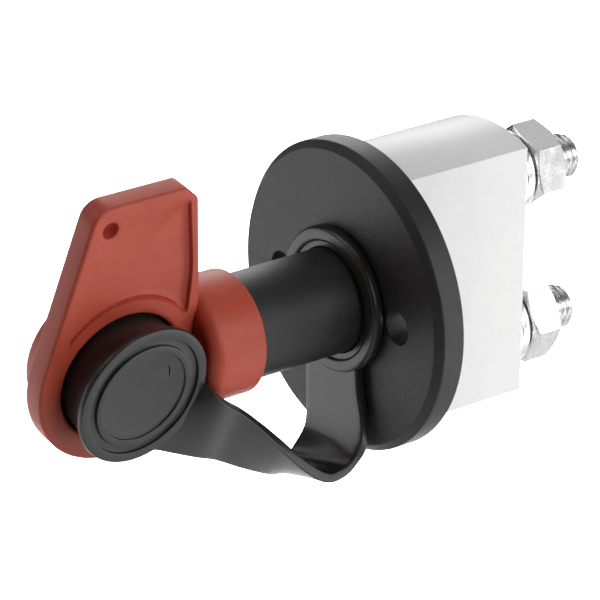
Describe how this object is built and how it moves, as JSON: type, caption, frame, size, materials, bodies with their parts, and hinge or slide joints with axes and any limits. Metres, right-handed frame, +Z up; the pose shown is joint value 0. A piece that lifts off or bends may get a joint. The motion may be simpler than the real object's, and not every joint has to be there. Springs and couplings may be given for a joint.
{
  "type": "battery switch",
  "caption": "Panel-mount battery isolator switch: round flange and long neck, removable red key turned by hand, tethered rubber dust cap, threaded cable terminals behind.",
  "frame": {"origin": "on the switch's main axis, in the flange's back face that meets the panel", "axes": "+Y along the main axis, from the key towards the cable terminals; +Z up through the upper terminal; +X to the right when looking at the key from the front"},
  "size_m": [0.068, 0.1408, 0.0812],
  "materials": {
    "black_plastic": "fine satin moulding",
    "white_moulding": "smooth light grey insulating compound",
    "red_plastic": "satin moulding with a fine texture",
    "rubber": "smooth satin rubber",
    "chrome": "bright plating",
    "steel": "plain steel",
    "copper": "bare copper",
    "contact_silver": "silver contact facing",
    "carrier_plastic": "natural glass-filled nylon"
  },
  "bodies": {
    "housing": {"flange_body": "black_plastic", "rear_housing": "white_moulding", "housing_gasket": "rubber", "left_housing_screw": "steel", "right_housing_screw": "steel", "upper_terminal_stud": "chrome", "lower_terminal_stud": "chrome", "upper_plain_washer": "chrome", "lower_plain_washer": "chrome", "upper_lock_washer": "chrome", "lower_lock_washer": "chrome", "upper_terminal_nut": "chrome", "lower_terminal_nut": "chrome", "spindle_circlip": "steel", "contact_spring": "steel"},
    "rotor": {"spindle": "carrier_plastic", "spindle_seal": "rubber", "neck_ring": "rubber", "strap_rear": "rubber"},
    "contact": {"bridge_carrier": "carrier_plastic", "contact_bridge": "copper", "upper_contact_tip": "contact_silver", "lower_contact_tip": "contact_silver"},
    "key": {"key_handle": "red_plastic", "key_shaft": "steel", "key_shaft_pin": "steel"},
    "cap": {"cap": "rubber", "strap_front": "rubber"}
  },
  "joints": [
    {"name": "key_turn", "type": "hinge", "parent": "housing", "child": "rotor", "pos_m": [0, 0, 0], "axis": [0, 1, 0], "range_deg": [0, 90]},
    {"name": "key_pull", "type": "slide", "parent": "rotor", "child": "key", "axis": [0, -1, 0], "range_m": [0, 0.022], "deforming": ["strap_rear"]},
    {"name": "cap_pull", "type": "slide", "parent": "key", "child": "cap", "axis": [0.9833, 0, -0.1822], "range_m": [0, 0.012], "deforming": ["strap_front"]},
    {"name": "bridge_travel", "type": "slide", "parent": "housing", "child": "contact", "axis": [0, 1, 0], "range_m": [0, 0.0031], "deforming": ["contact_spring"]}
  ],
  "couplings": [
    {"joint": "bridge_travel", "follows": "key_turn", "m_per_rad": 0.0019099}
  ]
}
